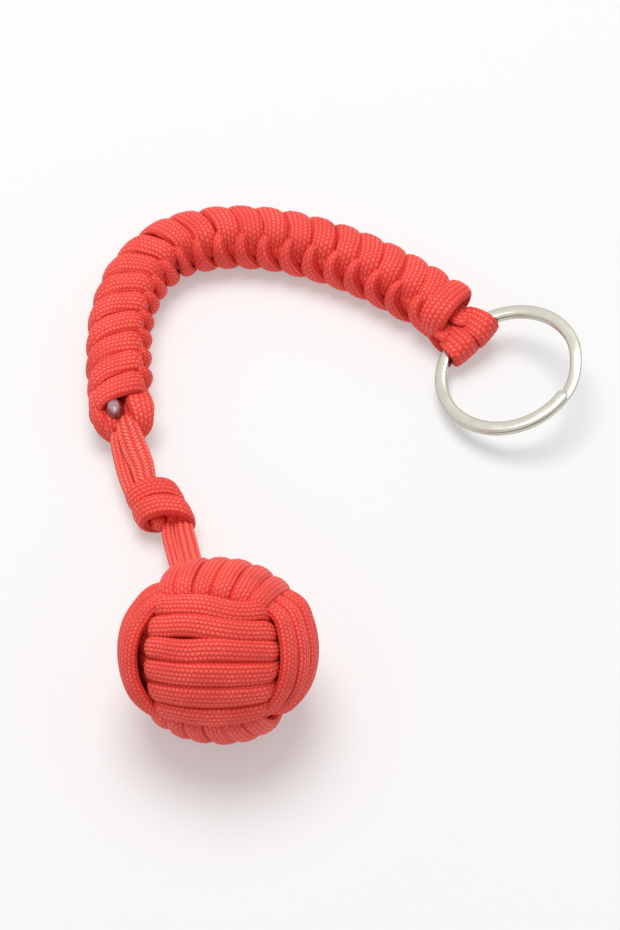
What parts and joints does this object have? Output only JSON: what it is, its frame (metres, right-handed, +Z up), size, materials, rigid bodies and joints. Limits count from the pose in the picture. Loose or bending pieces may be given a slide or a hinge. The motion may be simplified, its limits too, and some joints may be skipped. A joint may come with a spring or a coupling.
{
  "type": "monkey fist key chain",
  "caption": "Cord-wrapped steel ball with a knotted neck, a curved knotted cord bar and a split ring held by two flat cord loops.",
  "frame": {"origin": "bottom centre of the bounding box, on the table it lies on", "axes": "+Z up from the table; +Y from the fist towards the bend of the bar, the longest extent; +X towards the ring"},
  "size_m": [0.0978, 0.1298, 0.0349],
  "materials": {
    "red_cord": "braided nylon cord, coral red, slight sheen",
    "melted_cord": "melted nylon, smooth and slightly translucent",
    "ring_steel": "nickel-plated spring steel, satin",
    "ball_steel": "plain bearing steel, hidden by the cord"
  },
  "bodies": {
    "bar_link_01": {"bar_turns_01": "red_cord", "bar_core_outer_01": "red_cord", "bar_core_inner_01": "red_cord", "bar_end_turn": "red_cord", "melted_end_upper": "melted_cord", "melted_end_lower": "melted_cord"},
    "bar_link_02": {"bar_turns_02": "red_cord", "bar_core_outer_02": "red_cord", "bar_core_inner_02": "red_cord"},
    "bar_link_03": {"bar_turns_03": "red_cord", "bar_core_outer_03": "red_cord", "bar_core_inner_03": "red_cord"},
    "bar_link_04": {"bar_turns_04": "red_cord", "bar_core_outer_04": "red_cord", "bar_core_inner_04": "red_cord"},
    "bar_link_05": {"bar_turns_05": "red_cord", "bar_core_outer_05": "red_cord", "bar_core_inner_05": "red_cord"},
    "bar_link_06": {"bar_turns_06": "red_cord", "bar_core_outer_06": "red_cord", "bar_core_inner_06": "red_cord"},
    "bar_link_07": {"bar_turns_07": "red_cord", "bar_core_outer_07": "red_cord", "bar_core_inner_07": "red_cord"},
    "bar_link_08": {"bar_turns_08": "red_cord", "bar_core_outer_08": "red_cord", "bar_core_inner_08": "red_cord"},
    "bar_link_09": {"bar_turns_09": "red_cord", "bar_core_outer_09": "red_cord", "bar_core_inner_09": "red_cord"},
    "bar_link_10": {"bar_turns_10": "red_cord", "bar_core_outer_10": "red_cord", "bar_core_inner_10": "red_cord"},
    "bar_link_11": {"bar_turns_11": "red_cord", "bar_core_outer_11": "red_cord", "bar_core_inner_11": "red_cord"},
    "upper_neck": {"upper_neck_strand_left": "red_cord", "upper_neck_strand_right": "red_cord"},
    "knot": {"knot_upper_turn": "red_cord", "knot_lower_turn": "red_cord", "knot_core_strand_left": "red_cord", "knot_core_strand_right": "red_cord"},
    "lower_neck": {"lower_neck_strand_left": "red_cord", "lower_neck_strand_right": "red_cord"},
    "fist": {"steel_ball": "ball_steel", "fist_front_turns": "red_cord", "fist_side_turns": "red_cord", "fist_top_turns": "red_cord"},
    "loops": {"ring_loop_far": "red_cord", "ring_loop_near": "red_cord"},
    "ring": {"split_ring": "ring_steel"}
  },
  "joints": [
    {"name": "bar_bend_05", "type": "hinge", "parent": "bar_link_06", "child": "bar_link_05", "pos_m": [-0.03289, 0.05534, 0.0056], "axis": [0, 0, 1], "range_deg": [-24, 6]},
    {"name": "bar_bend_04", "type": "hinge", "parent": "bar_link_05", "child": "bar_link_04", "pos_m": [-0.03933, 0.04775, 0.0056], "axis": [0, 0, 1], "range_deg": [-16, 6]},
    {"name": "bar_bend_03", "type": "hinge", "parent": "bar_link_04", "child": "bar_link_03", "pos_m": [-0.04213, 0.03811, 0.0056], "axis": [0, 0, 1], "range_deg": [-13, 6]},
    {"name": "bar_bend_02", "type": "hinge", "parent": "bar_link_03", "child": "bar_link_02", "pos_m": [-0.0425, 0.02803, 0.0056], "axis": [0, 0, 1], "range_deg": [-11, 6]},
    {"name": "bar_bend_01", "type": "hinge", "parent": "bar_link_02", "child": "bar_link_01", "pos_m": [-0.04167, 0.01797, 0.0056], "axis": [0, 0, 1], "range_deg": [-10, 6]},
    {"name": "bar_bend_06", "type": "hinge", "parent": "bar_link_06", "child": "bar_link_07", "pos_m": [-0.02333, 0.05838, 0.0056], "axis": [0, 0, -1], "range_deg": [-16, 6]},
    {"name": "bar_bend_07", "type": "hinge", "parent": "bar_link_07", "child": "bar_link_08", "pos_m": [-0.01327, 0.05817, 0.0056], "axis": [0, 0, -1], "range_deg": [-14, 6]},
    {"name": "bar_bend_08", "type": "hinge", "parent": "bar_link_08", "child": "bar_link_09", "pos_m": [-0.00352, 0.05559, 0.0056], "axis": [0, 0, -1], "range_deg": [-11, 6]},
    {"name": "bar_bend_09", "type": "hinge", "parent": "bar_link_09", "child": "bar_link_10", "pos_m": [0.00571, 0.05154, 0.0056], "axis": [0, 0, -1], "range_deg": [-10, 6]},
    {"name": "bar_bend_10", "type": "hinge", "parent": "bar_link_10", "child": "bar_link_11", "pos_m": [0.01426, 0.04619, 0.0056], "axis": [0, 0, -1], "range_deg": [-10, 6]},
    {"name": "neck_swing", "type": "hinge", "parent": "bar_link_01", "child": "upper_neck", "pos_m": [-0.04032, 0.00595, 0.0056], "axis": [0, 0, 1], "range_deg": [-35, 35]},
    {"name": "knot_lift", "type": "hinge", "parent": "upper_neck", "child": "knot", "pos_m": [-0.0359, -0.0016, 0.0041], "axis": [-0.9171, -0.3987, 0], "range_deg": [-20, 40]},
    {"name": "knot_swing", "type": "hinge", "parent": "knot", "child": "lower_neck", "pos_m": [-0.03098, -0.01292, 0.0041], "axis": [0, 0, 1], "range_deg": [-35, 35]},
    {"name": "fist_twist", "type": "hinge", "parent": "lower_neck", "child": "fist", "pos_m": [-0.02124, -0.04726, 0.0173], "axis": [0.2559, -0.9023, 0.3469], "range_deg": [-60, 60]},
    {"name": "loop_flop", "type": "hinge", "parent": "bar_link_11", "child": "loops", "pos_m": [0.02384, 0.03881, 0.0056], "axis": [-0.6195, -0.785, 0], "range_deg": [-35, 45]},
    {"name": "ring_spin", "type": "hinge", "parent": "loops", "child": "ring", "pos_m": [0.03466, 0.02384, 0.0073], "axis": [-0.3161, -0.023, 0.9484], "continuous": true}
  ]
}
